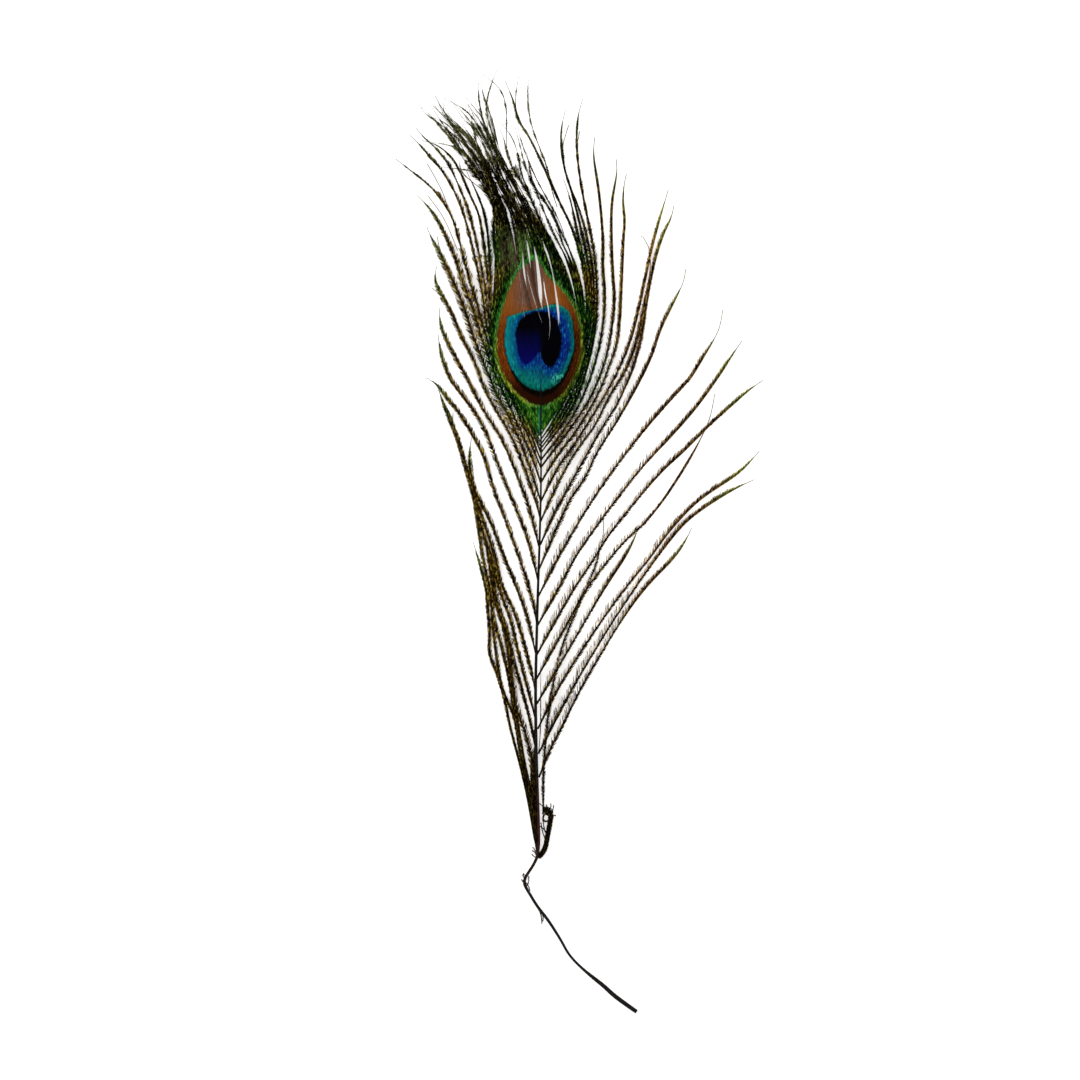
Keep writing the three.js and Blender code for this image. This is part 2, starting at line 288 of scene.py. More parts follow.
RIGHT_BARBS = ways("""
    -0.3,26.5 4,37 7,42.5 14,56.5 32,85 44,98 47,102.5 48.7,106.3
    -0.5,34 11,56 29,85 45,106.5 50,111 60,117.5 68.7,121.8
    -0.7,42 7,57 25,84 37,99 40,103.5 50,114.5 65,125 70.5,131
    -1,50 21,87.5 29,100 32,107
    -1.1,58 10,78 14,85.5 28,103 32,106.3 40,116 54,140 56.2,149.5
    -1,65.7 11,87 17,96 22,104 40,125.5 45,130 55,140 69,152 71.7,153.7
    -0.8,75 6,87 12,98 30,122.5 50,145 64.8,166.3
    -0.5,84.4 6,97 17,115.5 30,133.5 45,151 48,154 51,159 57.5,170 58.7,176.3
    -0.2,93.2 10,116 14,121.5 18,130 25,141 35.3,160.4 38.7,170.3 46.6,186.6 46.7,189.4
    0.1,100.8 4.5,110.5 20,138.5 25.4,147 27.2,151.5 29.1,155.2 32.8,169.2 34.2,179.2 37.2,193.6
        40.1,201.9 42.4,206 42.9,209.7
    0.2,108.3 7,123 13,133 17,138 22,148 27.5,157 31.9,170 35.5,194 33.8,199.1 32.4,200
    0.3,114.7 6,126 10,131.5 22,151 28.5,165 36.8,200 41.2,214.8
    0.3,120.7 6,130 10,135 19,150 22.8,160 24.6,165 27,202.7 27.4,205.3 26.7,208.2 27,217.1 27.8,219.9
    0.3,125.5 15,146 20.9,160 23.9,180 23.5,185 23,210.1 24.9,221.9 24.4,224.8
    0.3,127.9 9,139.5 14.5,150 19.1,165 20.8,180 20.1,190 20.2,198.2 18.9,213.8 17.1,227.1 17.6,231.7
""")
# A barb from the tuft that strayed across the others, and the hair of a broken one by the shaft.
STRAY_BARBS = ways("""
    0.9,14.6 1.3,17 0.95,20 1.6,35.5 3.1,50 5.8,64 8.2,71.5 18.5,96 19.5,101 20.6,104.5 20.3,109
""")
SHAFT_HAIRS = ways("""
    -0.4,35 0.1,40 0.2,63
""")

BARB_STEP = 0.9
CORE_RADII = {0.0: 0.30, 0.5: 0.25, 1.0: 0.09}
BARBULE_SPACING = 0.13
BARBULE_LEAN = math.radians(35)
BARBULE_RISE = 0.05
TUFT_PITCH = 0.95
TIP_HEIGHT = 0.12
DASH_PERIOD = 1.5
TWIST_PERIOD = 9.0
OPENING = 6.0
SMOOTHING = 3
LEAST_HEIGHT = 0.03
DARK, PALE = 0.5, 1.0
MAP_SHEAR = 0.3
rng = np.random.default_rng(11)


def follow(values, stops):
    """What the stops give at each value, in straight lines between them."""
    return np.interp(values, list(stops), list(stops.values()))


def shaft_height(y):
    return float(np.interp(y, SHAFT[:, 1], SHAFT[:, 2]))


def arched(points, root_height, lift=0.0, step=BARB_STEP):
    """A barb's line: it leaves the shaft at the shaft's height and sinks until its tip lies down."""
    flat = smooth_line(points, step)
    for _ in range(SMOOTHING if len(flat) > 12 else 0):
        flat[2:-2] = sum(flat[shift:len(flat) - 4 + shift] for shift in range(5)) / 5
    t = np.linspace(0, 1, len(flat))
    height = TIP_HEIGHT + (root_height - TIP_HEIGHT) * np.cos(0.5 * math.pi * t)
    height += lift * np.sin(math.pi * t)
    return np.column_stack((flat, np.maximum(height, TIP_HEIGHT)))


def across(line):
    """Unit vectors along a line, to its left and above it."""
    ahead = np.gradient(line, axis=0)
    ahead /= np.linalg.norm(ahead, axis=1)[:, None]
    left = np.column_stack((-ahead[:, 1], ahead[:, 0], np.zeros(len(line))))
    left /= np.linalg.norm(left, axis=1)[:, None]
    return ahead, left, np.cross(ahead, left)


def marks_of(*values):
    """The four marks of each point: how far out, its fleck, how far along, and the barb's own."""
    return np.column_stack(np.broadcast_arrays(*values))


def tube(line, half_width, half_height, strand, reach=0.0, fleck=0.5, sides=5):
    """A closed tube along a line, as points, triangles and marks."""
    _, left, up = across(line)
    turns = 2 * math.pi * np.arange(sides) / sides
    wide = np.broadcast_to(half_width, len(line))[:, None, None]
    high = np.broadcast_to(half_height, len(line))[:, None, None]
    rings = (line[:, None] + wide * np.cos(turns)[None, :, None] * left[:, None]
             + high * np.sin(turns)[None, :, None] * up[:, None])
    n = len(line)
    first = (np.arange(n - 1)[:, None] * sides + np.arange(sides)).ravel()
    second = (np.arange(n - 1)[:, None] * sides + (np.arange(sides) + 1) % sides).ravel()
    walls = np.vstack((np.column_stack((first, first + sides, second)),
                       np.column_stack((second, first + sides, second + sides))))
    fan = np.arange(1, sides - 1)
    start = np.column_stack((np.zeros_like(fan), fan, fan + 1))
    end = start[:, ::-1] + (n - 1) * sides
    along = np.repeat(np.linspace(0, 1, n), sides)
    marks = marks_of(reach, fleck, along, strand)
    return rings.reshape(-1, 3), np.vstack((walls, start, end)), marks


def strips(foot, tip, ahead, up, foot_half, tip_half, marks_foot, marks_tip):
    """Closed four-sided slips, each flat and a little twisted, from a foot to a narrower tip."""
    a = foot + ahead * foot_half + up * BARBULE_RISE
    b = foot - ahead * foot_half
    c = tip - ahead * tip_half + up * BARBULE_RISE
    d = tip + ahead * tip_half
    volume = np.einsum("ij,ij->i", b - a, np.cross(c - a, d - a))
    turned = volume < 0
    a[turned], b[turned] = b[turned].copy(), a[turned].copy()
    points = np.stack((a, b, c, d), axis=1).reshape(-1, 3)
    order = np.array([(0, 2, 1), (0, 1, 3), (1, 2, 3), (0, 3, 2)])
    triangles = (np.arange(len(foot))[:, None, None] * 4 + order).reshape(-1, 3)
    marks = np.stack((marks_foot, marks_foot, marks_tip, marks_tip), axis=1).reshape(-1, 4)
    return points, triangles, marks


def fringe(line, side, width, strand, spacing=BARBULE_SPACING, lean=BARBULE_LEAN, half=0.1,
           droop=0.25, foot_mark=0.3, tip_mark=DARK, pitch=TUFT_PITCH, pull=0.3, ragged=0.25):
    """Barbules along one side of a line, clinging together in small tufts. width is how far out
    they stand at each point of the line, and tip_mark how pale they end there."""
    run = run_along(line)
    s = (np.arange(int(run[-1] / spacing)) + rng.uniform(0.1, 0.9, int(run[-1] / spacing))) * spacing
    ahead, left, up = across(line)

    def at(values):
        values = np.asarray(values, float)
        if values.ndim < 2:
            return np.interp(s, run, np.broadcast_to(values, len(run)))
        return read_at(s, run, values)

    tufts = int(run[-1] / pitch) + 2
    borders = (np.arange(tufts) + rng.uniform(-0.3, 0.3, tufts)) * pitch
    tuft = np.clip(np.searchsorted(borders, s), 0, tufts - 1)
    tuft_reach = rng.uniform(1 - ragged, 1.12, tufts)[tuft]
    tuft_turn = rng.uniform(0.75, 1.25, tufts)[tuft]
    tuft_fleck = rng.uniform(0, 1, tufts)[tuft]
    out = at(width) * tuft_reach * rng.uniform(0.8, 1.06, len(s))
    kept = out > 0.05
    centre = borders[tuft]
    s, out, tuft_turn, tuft_fleck, centre = (v[kept] for v in (s, out, tuft_turn, tuft_fleck, centre))
    foot, forward, outward, up = at(line), at(ahead), at(left) * side, at(up)
    angle = (lean * tuft_turn * rng.uniform(0.9, 1.1, len(s)))[:, None]
    direction = np.cos(angle) * forward + np.sin(angle) * outward
    length = out[:, None] / np.sin(angle)
    sink = rng.uniform(-1.0, 0.35, len(s))[:, None] * droop * out[:, None]
    tip = foot + direction * length + up * sink + forward * ((centre - s) * pull)[:, None]
    tip[:, 2] = np.maximum(tip[:, 2], LEAST_HEIGHT)
    fleck = np.clip(0.72 * tuft_fleck + 0.28 * rng.uniform(0, 1, len(s)), 0, 1)
    along = s / run[-1]
    return strips(foot, tip, forward, up, half, 0.5 * half,
                  marks_of(at(foot_mark), fleck, along, strand),
                  marks_of(at(tip_mark), fleck, along, strand))


def wave(run, period):
    """A slow random swing between -1 and 1 along a barb, as it twists."""
    places = np.arange(-period, run[-1] + 2 * period, period)
    swings = rng.uniform(-1, 1, len(places))
    return np.interp(run, places + rng.uniform(0, period), swings)


def barb(line, side, tipward, rootward, pale=(0.0, 0.0), pale_foot=0.3, pale_spacing=0.0,
         hair=4.0, closing=12.0, core=1.0, spacing=BARBULE_SPACING, pitch=TUFT_PITCH, half=0.1,
         dash=0.0, blade=0.0):
    """A whole barb: its core, and barbules on both sides. tipward and rootward are how far out
    these stand on the side facing the tip and on the other. The barbules of the side that faces
    the tip are pale up to the first share in pale of the barb's length, and dark from the second.
    They shrink away over the stretch closing before the bare hair at the end. dash is how much
    they come and go along the barb, where it is half stripped. blade is how far out the roots of
    the barbules close up to a thin sheet on each side of the core."""
    strand = rng.uniform()
    run = run_along(line)
    length = run[-1]
    t = run / length
    radius = core * follow(t, CORE_RADII)
    opening = np.clip(run / OPENING, 0.3, 1.0)
    body = opening * np.clip((length - hair - run) / closing, 0.0, 1.0) ** 0.6
    if np.any(dash):
        body = body * np.clip(1 - dash + 1.6 * dash * wave(run, DASH_PERIOD), 0.1, 1.2)
    twist = wave(run, TWIST_PERIOD)
    paleness = np.zeros(len(t))
    if pale[1] > pale[0]:
        paleness = follow(t, {0: 0.3, 0.25: 0.8, pale[0]: 1, pale[1]: 0})
    parts = [tube(line, radius, radius, strand)]
    if np.any(blade):
        sheet = line - np.array((0, 0, 0.05))
        half_sheet = np.maximum(blade * body * (1 - 0.8 * paleness), 0.05)
        parts.append(tube(sheet, half_sheet, 0.04, strand, reach=0.4, fleck=0.45, sides=4))
    parts.append(fringe(line, side, tipward * body * (1 + 0.3 * twist), strand,
                        pale_spacing or spacing, half=half, pitch=pitch,
                        foot_mark=0.3 + (pale_foot - 0.3) * paleness,
                        tip_mark=DARK + (PALE - DARK) * paleness))
    if pale_spacing:
        parts.append(fringe(line, side, 0.9 * tipward * body * (1 - paleness), strand, pale_spacing,
                            half=half, pitch=pitch))
    parts.append(fringe(line, -side, rootward * body * (1 - 0.35 * twist), strand, spacing,
                        half=half, pitch=pitch, foot_mark=0.12))
    return parts


# The finish of every barb. Outside the eye a barbule is black at its foot and pales to grey tan at
# its tip, with olive and gold glints. In the eye the colour of each barbule hangs on its place:
# rings whose distance from the eye's middle changes with direction, given every few degrees.
EYE_MIDDLE = (0.0, 165.0, 0.0)
HEART = {-180: 7.6, -165: 7.5, -148: 7.9, -136: 8.1, -126: 8, -118: 6, -108: 3.7, -98: 2.7,
         -88: 3.3, -80: 5.2, -74: 7.1, -66: 8.1, -57: 8.1, -44: 7.6, -30: 7.3, -10: 7, 8: 7.1,
         24: 7.4, 38: 8, 54: 9.2, 70: 10.1, 89: 10.5, 107: 10.5, 122: 10.3, 136: 9.7, 148: 9.1,
         158: 8.6, 168: 7.9, 180: 7.6}
TEAL = {-180: 11.3, -166: 11.1, -154: 11.3, -140: 11.9, -127: 12.6, -117: 13.4, -108: 14.1,
        -98: 14.7, -89: 15, -80: 14.6, -70: 14.1, -60: 13.2, -50: 12.3, -36: 11.3, -23: 10.9,
        -8: 10.9, 5: 11, 19: 11.3, 31: 12.2, 42: 13.2, 49: 13.8, 55: 14, 67: 13.8, 77: 12.8,
        89: 11.5, 98: 11.2, 106: 11.2, 116: 11.5, 126: 12.1, 134: 12.9, 139: 13.5, 143: 13.1,
        153: 12.2, 166: 11.6, 180: 11.3}
BLACK_BAND = {-180: 0.35, -150: 0.5, -130: 0.9, -110: 1.5, -90: 1.8, -70: 1.4, -50: 1, -30: 0.7,
              0: 0.5, 30: 0.35, 50: 0.1, 140: 0.1, 180: 0.35}
COPPER = {-180: 13.8, -168: 14, -157: 14.3, -143: 15, -130: 15.8, -119: 16.9, -108: 18.1, -98: 19.1,
          -88: 19.6, -79: 18.9, -70: 17.9, -57: 16.4, -46: 15.2, -36: 14.3, -23: 13.6, -10: 13.3,
          2: 12.9, 13: 13.2, 32: 14.3, 40: 15.1, 49: 16.1, 56: 16.9, 63: 17.9, 69: 18.8, 75: 19.8,
          82: 21.4, 86: 23.2, 90: 25.8, 93: 27, 98: 26.3, 106: 24.5, 112: 22.2, 117: 20.8,
          122: 19.5, 127: 18.2, 132: 17.1, 139: 16.1, 146: 15.4, 156: 14.6, 168: 14, 180: 13.8}
RING_SPAN = 30.0
BLACK_SPAN = 3.0
GRAIN_SCALE = 900.0
FLECK_SCALE = 1700.0


def ring(finish, turn, table, scale=RING_SPAN):
    """A ring's distance from the eye's middle in each direction."""
    node = finish.add("ShaderNodeFloatCurve", {"Value": turn})
    curve = node.mapping.curves[0]
    places = [((degrees + 180) / 360, distance / scale) for degrees, distance in table.items()]
    while len(curve.points) < len(places):
        curve.points.new(0.5, 0.5)
    for point, place in zip(curve.points, places):
        point.location = place
    node.mapping.update()
    return Amount(finish, node.outputs["Value"]) * scale


def within(distance, edge, soft):
    """1 inside an edge, 0 outside it, softly over a short way."""
    return ((edge - distance) / soft + 0.5).held()


def barb_finish():
    finish = Finish("barb", roughness=0.6, specular=0.02)
    ramp, mix = finish.ramp, finish.mix
    place = finish.add("ShaderNodeTexCoord").outputs["Object"]
    marks = finish.add("ShaderNodeAttribute", attribute_name="marks").outputs
    reach, fleck, along = finish.parts("Color", marks["Color"])
    strand = Amount(finish, marks["Alpha"])
    grain = finish.noise(place, GRAIN_SCALE, 3.0)
    drawn_out = finish.add("ShaderNodeMapping", {"Vector": place, "Scale": (1.25, 0.4, 1.0)})
    coarse = (finish.noise(drawn_out.outputs[0], FLECK_SCALE, 1.0) - 0.5) * 2.6 + 0.5
    speck = (fleck * 0.45 + coarse * 0.55).held()

    # millimetres from the eye's middle, and the rings in the direction of each point
    shift = [-(start + middle * MM) / MM for start, middle in zip(ORIGIN, EYE_MIDDLE)]
    scaled = finish.add("ShaderNodeMapping", {"Vector": place, "Location": shift, "Scale": [1 / MM] * 3})
    x, y, _ = finish.parts("XYZ", scaled.outputs[0])
    turn = finish.sum("ARCTAN2", y, x) / (2 * math.pi) + 0.5
    straight = finish.sum("SQRT", x * x + y * y)
    far = straight + ((fleck - 0.5) * 0.5 + (grain - 0.5) * 0.8)
    heart = ring(finish, turn, HEART)
    teal = ring(finish, turn, TEAL)
    black = teal + ring(finish, turn, BLACK_BAND, BLACK_SPAN)
    copper = ring(finish, turn, COPPER)

    # loose barbs: dark barbules with gold glints or pale tan ones, rustier on the right, with
    # green ends and a pale joint at the shaft
    dark = ramp(speck, {0.0: "#030100", 0.38: "#130a01", 0.5: "#3a2605", 0.62: "#6b5010",
                        0.76: "#9c822c", 0.92: "#cbb860"})
    rust = ramp(speck, {0.3: "#180a03", 0.44: "#52300e", 0.57: "#94672f", 0.78: "#cfa968"})
    pale = ramp(speck, {0.3: "#110803", 0.42: "#3a2410", 0.5: "#866a4c", 0.58: "#c4b096",
                        0.75: "#efe5d4"})
    tips = ramp(speck, {0.2: "#44460c", 0.46: "#8c9428", 0.75: "#d0d456"})
    dark_tips = ramp(speck, {0.2: "#161c05", 0.46: "#3f4e18", 0.75: "#808f42"})
    rightwards = x.rise(20.0, 0.07)
    dark = mix(rightwards * 0.7, dark, rust)
    loose = mix(reach.rise(DARK, 2.0), dark, pale)
    tips = mix(rightwards, dark_tips, tips)
    loose = mix(along.rise(0.83, 9.0) * 0.85, loose, tips)
    loose = mix(along.fall(0.012, 200.0), loose, "#4a420a")

    # the green border of the eye: black and dark green with bright and gold glints
    border = ramp(speck, {0.0: "#010200", 0.42: "#030a02", 0.53: "#0b2607", 0.65: "#1a5a12",
                          0.78: "#448019", 0.92: "#a2aa40"})
    black_green = ramp(speck, {0.0: "#010200", 0.5: "#020602", 0.62: "#06200a", 0.76: "#1c6020",
                               0.92: "#6f9c48"})
    black_side = within(2.5, x, 3.0) * within(x, 10.5, 3.0) * within(20.0, y, 5.0)
    border = mix(black_side * 0.85, border, black_green)
    lower = (y * -0.2).held()
    outer = copper + 5.2 + x * 0.07 + lower * 1.8
    skin = mix(within(straight, outer, 4.0), loose, border)

    # above the eye the border is olive and black, and so is the foot of the crest
    above = y.rise(20.0, 0.12)
    woven = (fleck * 0.35 + strand * 0.2 + coarse * 0.45).held()
    crest = ramp(woven, {0.0: "#010100", 0.44: "#030300", 0.55: "#131102", 0.64: "#372d08",
                         0.76: "#635c20", 0.9: "#928b4a"})
    crest = mix(y.rise(26.0, 0.075), border, crest)
    streaks = ramp(strand * 0.65 + coarse * 0.35,
                   {0.2: "#080904", 0.38: "#2e2a16", 0.5: "#74654c", 0.62: "#3d5a24", 0.8: "#66a046"})
    patch = within(abs(x + 8.0), 4.5, 3.0) * within(y, 35.0, 7.0) * within(21.0, y, 5.0)
    crest = mix(patch * 0.8, crest, streaks)
    mist = ramp(woven, {0.15: "#0e0f03", 0.4: "#2e300c", 0.62: "#66683a", 0.88: "#a2a276"})
    crest = mix(within(62.0, y, 12.0), crest, mist)
    inner = within(abs(x - 5.5 + y * 0.22), 17.0, 5.0)
    free = within(x + y * 0.62, 34.0, 6.0) * within(52.0, y, 8.0)
    skin = mix(above * inner.larger(free), skin, crest)

    # below the copper lies a close green wedge with a bluish line along the shaft
    wedge = ramp(speck, {0.15: "#082005", 0.4: "#1b560f", 0.6: "#3a8a20", 0.85: "#8fb440"})
    wedge = mix(within(abs(x), 0.5, 0.8), wedge, "#1d7a58")
    low = within(y, -14.0, 4.0) * within(-34.0, y, 8.0)
    skin = mix(low * within(abs(x) + y * -0.5, 15.5, 4.0), skin, wedge)

    # the thin bright line around the copper, gold low on the left and green at the top
    gold_rim = ramp(speck, {0.1: "#1f3c0a", 0.38: "#55801a", 0.6: "#98a826", 0.85: "#d2ce5c"})
    green_rim = ramp(speck, {0.2: "#0f3410", 0.4: "#2b7424", 0.62: "#45963a", 0.85: "#7cc06a"})
    right = x.rise(5.0, 0.2)
    green = within(-2.0, y - right * 11.0, 16.0).larger(within(abs(x - 1.0), 4.0, 6.0))
    rim = mix(green, gold_rim, green_rim)
    skin = mix(within(far, copper + (above * 0.8 + 1.0), 0.7), skin, rim)

    # copper ring, orange brown at the sides, dark at the bottom, with painted light: lighter gold
    # towards the top and a painted mauve sheen above the heart
    bronze = ramp(fleck, {0.0: "#4e1d03", 0.5: "#7c3a0a", 1.0: "#a85e1e"})
    # painted light: the copper turns lighter gold towards the top, less on the right
    bronze = mix(y.rise(5.0, 0.12) * (0.6 - right * 0.4), bronze, "#b9702a")
    # painted sheen: a pinkish mauve laid over the copper above the heart
    mauve_sheen = ramp(fleck, {0.0: "#5d4034", 0.5: "#7f5d4c", 1.0: "#9a7a66"})
    bronze = mix(y.rise(9.0, 0.2) * within(abs(x + 3.0), 5.0, 5.0), bronze, mauve_sheen)
    bronze = mix(y.fall(-7.0, 0.14) * (0.92 - right * 0.5), bronze, "#1e0700")
    bronze = mix(strand.rise(0.5, 1.6) * (right * 0.5 + 1.0), bronze, "#241003")
    skin = mix(within(far, copper, 0.6), skin, bronze)
    skin = mix(within(far, black, 0.6), skin, "#0a0402")

    # from the heart out: royal blue, blue, teal and a cyan-green edge; bluer to the right, with painted
    # glints
    share = (far - heart) / (teal - heart)
    share = share - (1.0 - share) * (x / straight) * 0.28 - right * 0.18
    rays = ramp(share, {0.0: "#08248c", 0.16: "#082c8c", 0.34: "#063f90", 0.52: "#066086",
                        0.72: "#087c7c", 0.9: "#0e9c86", 1.0: "#0a7258"})
    # painted glints: bright cyan specks scattered over the rings
    rays = mix(speck.rise(0.6, 1.6), rays, "#30d2c4")
    rays = mix(speck.fall(0.46, 2.8), rays, "#03253f")
    rays = mix(y.fall(-6.0, 0.1) * 0.55, rays, "#02464c")
    rays = mix(x.fall(-6.0, 0.3) * 0.4, rays, "#0a90b0")
    # painted highlight: a bright cyan patch at the lower right of the teal
    bright = within(abs(x - 6.0), 2.2, 1.5) * within(abs(y + 11.2), 1.4, 1.4)
    rays = mix(bright * speck.rise(0.4, 3.0), rays, "#58e6c8")
    skin = mix(within(far, teal, 0.4), skin, rays)
    night = mix(within(x + grain * 2.0, 0.8, 2.0), "#010104", "#07075a")
    night = mix(y.rise(-5.0, 0.1), night, "#010106")
    skin = mix(within(far, heart, 0.5), skin, night)

    # Cores and feet are darker than tips, and barbs differ a little from one another. Cores show
    # as lines low on the right of the copper, and hardly elsewhere in the eye. The lowest barbs
    # are darker again.
    lined = x.rise(3.0, 0.2) * within(y, 6.0, 8.0) * within(teal, far, 1.0)
    closed = within(far, copper, 2.0) * 0.75 * (1.0 - lined)
    foot = (reach * 2.2).held()
    foot = (foot + lined * (reach.rise(0.33, 6.0) - foot)).larger(closed)
    height = ((y + 145.0) / 55.0).held()
    light = (strand * 0.4 + 0.8) * (foot * 0.78 + 0.22) * (height * 0.65 + 0.35)
    toned = finish.add("ShaderNodeVectorMath", {0: skin}, operation="SCALE")
    finish.fill(toned.inputs["Scale"], light)
    finish.paint(toned.outputs[0])
    return finish.material


BARB_FINISH = barb_finish()


def grow(name, parts):
    """One mesh object from many parts, with their marks and a flat map seen from above."""
    points, triangles, marks, done = [], [], [], 0
    for part_points, part_triangles, part_marks in parts:
        points.append(part_points)
        triangles.append(part_triangles + done)
        marks.append(part_marks)
        done += len(part_points)
    points = np.concatenate(points)
    points[:, 2] = np.maximum(points[:, 2], 0.0)
    mesh = bpy.data.meshes.new(name)
    mesh.from_pydata((points * MM + ORIGIN).tolist(), [], np.concatenate(triangles).tolist())
    attribute = mesh.attributes.new("marks", "FLOAT_COLOR", "POINT")
    attribute.data.foreach_set("color", np.concatenate(marks).astype(np.float32).ravel())
    flat = points[:, :2] + MAP_SHEAR * points[:, 2:3]
    flat = (flat - flat.min(0)) / np.ptp(flat, axis=0)
    layer = mesh.uv_layers.new(name="OFBake")
    corners = np.empty(len(mesh.loops), np.int32)
    mesh.loops.foreach_get("vertex_index", corners)
    layer.uv.foreach_set("vector", flat[corners].astype(np.float32).ravel())
    mesh.materials.append(BARB_FINISH)
    thing = in_scene(name, mesh)
    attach(thing, "root")
    return thing


def from_shaft(points, least=-0.3, most=0.3):
    """The line of a barb that leaves the shaft, arched a little more or less than its neighbours."""
    return arched(points, shaft_height(points[0][1]), rng.uniform(least, most))


# Numbers of the barbs that end in a long bare hair, of the one that is stripped near its end, and
# of the first that runs up beside the eye.
LONG_HAIRS = {4: 14.0, 7: 9.0, 8: 6.0, 10: 14.0}
SHORT_HAIR = 2.5
STRIPPED_BARB = 4
BESIDE_EYE_FROM = 11

parts = []
for number, points in enumerate(RIGHT_BARBS):
    line = from_shaft(points)
    upper = number / len(RIGHT_BARBS)
    pale = (0.5 - 0.2 * upper, 0.72 - 0.2 * upper)
    share = np.linspace(0, 1, len(line))
    body = follow(share, {0: 1.1, 0.12: 1.25, 0.45: 1.05, 0.8: 0.72})
    if number == STRIPPED_BARB:
        body *= follow(share, {0.55: 1, 0.68: 0.2})
    if number >= BESIDE_EYE_FROM:
        body *= follow(line[:, 1], {150: 1, 170: 0.85, 196: 0.85, 212: 0.45})
    parts += barb(line, 1, tipward=(1.5 - 0.35 * upper) * body, rootward=(0.5 + 0.3 * upper) * body,
                  pale=pale, pale_foot=0.72, pale_spacing=0.13, closing=10.0,
                  hair=LONG_HAIRS.get(number, SHORT_HAIR), spacing=0.09, core=1.15, pitch=0.6,
                  half=0.09, blade=0.45)
for points in STRAY_BARBS:
    line = arched(points, 2.6, 1.3)
    parts += barb(line, 1, tipward=0.8, rootward=0.7, pale=(0.4, 0.7), pale_foot=0.4, hair=8.0,
                  core=1.1, pitch=0.5)
for points in SHAFT_HAIRS:
    line = arched(points, 4.4, 0.4)
    parts += barb(line, 1, tipward=0.3, rootward=0.2, core=0.5)
grow("barbs_right", parts)


# ---------------------------------------------------------------- loose barbs of the left side
# The left barbs run up closer to the shaft. The lowest cling together in a bundle that spreads
# into two strands, and the rest end in hooked hairs. They are made as those of the right side.

LEFT_BARBS = ways("""
    -0.7,1 -4.7,23.4 -9.3,41.5 -12.1,54.5 -14.4,61 -16.3,65.6 -16.1,74.2 -16.8,80 -17.3,86.5 -21.4,101.7
    -0.6,3 -3.4,19.5 -6.4,34 -8.5,46.5 -11.9,54 -15.3,76.3 -15.7,84.5 -18.6,98 -21.1,116.2 -22.8,122.6
    -0.7,8 -2,16 -8.4,47 -9.1,53 -13.3,71.8 -14.9,76.3 -15.8,83 -18.2,96
    -0.8,12 -2,19 -4.5,29 -9.8,62 -10.4,68 -12.8,78.3 -14.5,82.8 -17.3,101.6 -19,107 -26.6,135.3
        -32.6,150.5
    -1,22 -2.7,33 -5.7,43.5 -7.4,48 -9.1,60 -9.3,66.8 -11.6,75 -13.3,79.1 -13.9,84 -14.9,87.3 -14.9,91.4
        -17.8,102.5
    -1.2,34 -2.5,41.8 -10.8,73 -12.9,82
    -1.4,45 -7.5,69 -9.2,76.3 -13.3,87.3 -14.5,93.1 -19.2,107.5
    -1.5,54 -2.2,58.2 -7.9,78.7 -12.8,89.4 -13.8,95 -21.3,118.8 -22.8,129.1 -22,135.3
    -1.4,66.3 -4.3,78.7 -13.3,101.6 -14.5,105.3 -22.6,122.3 -25.4,131.9 -31.7,147.9 -32.8,151.6
    -0.9,74.8 -2.2,82.8 -11.2,109.4 -13.7,115.3 -18.3,129.7 -26.9,144.5 -29.1,147 -35.4,154.4 -36.8,154
    -0.6,89.3 -4,103 -12.2,123.6 -19,140.5 -29.4,154.8 -30.3,157.9 -31.6,160.9 -32.8,168.7
    -0.2,99.8 -4.2,115.3 -6.7,121.4 -11.6,133.4 -19.3,146 -22.3,152.2 -32.3,172.3 -32.2,176.9
    0.1,109 -0.8,113.1 -6.1,128.5 -11.3,139.6 -14,143.6 -18.3,152.2 -20.1,157.6 -25.1,167.4 -27.7,174
        -34.1,187.1 -33,190.4
    0.3,114.7 -4.8,130 -9.1,140 -14.2,150 -22.2,170 -23.7,175.3 -32.3,195 -35.6,200.6 -36.2,202.9
    0.3,120.5 -3,130 -16.2,160 -22.4,178.9 -25.1,185.5 -26,189.4 -34.1,207.3 -39.4,213
    0.3,125.5 -5.7,140 -14.8,160 -20.5,179.2 -22.8,186.1 -25.4,196.6 -26.7,200.6 -27.5,204.2 -33.1,213.6
        -46.3,224.8
    0.3,127.8 -4.6,140 -9.6,150 -16.9,170 -18.2,180 -25.4,209.4 -32.4,222.3 -35.2,225.1 -37.6,228.2
        -41.8,232.4
    0.3,130.2 -3.6,140 -8.8,150 -15.9,170 -17,180 -22.6,206.9 -27.5,219.1 -28.9,222.3 -34.5,229.3
        -38.3,232.4 -39.7,234.8
""")
# Split ends that leave a barb near its tip.
SPLIT_ENDS = ways("""
    -31.8,195 -32.6,197.6 -32.9,199.9
    -32,181.2 -33.3,182.2 -34.7,183.3
    -26.4,195.3 -31,206 -35.9,212.9
    -29.6,209.4 -31,213.6 -36.2,223.3
    -27.9,143.3 -28,141.1 -27.9,140
    35.5,194 36.3,197 35.3,196.2
    11.9,229.5 12.3,231.2 12.7,233.7
    7.2,227.5 7.6,230.1 9.2,235.6
""")

# Stumps and broken barbs that cling to the shaft below the bundle.
MASS_STRANDS = ways("""
    -0.8,2 -1.3,6 -3,33
    -0.8,3 -1.9,20 -2.6,35
    -0.8,10 -1.7,26 -2,36
    -0.9,19.5 -1.4,24 -1.7,38
    -0.9,2.5 -2.9,20 -3.2,24.6
    -0.9,5 -2.6,21 -3,30
""")

# Numbers of the one broad barb of the bundle, of the first barb above the bundle, of the first of
# the fuller ones beside the eye, and of the first ragged one.
BROAD_BARB = 4
ABOVE_BUNDLE_FROM = 9
FULLER_FROM = 13
RAGGED_FROM = 15


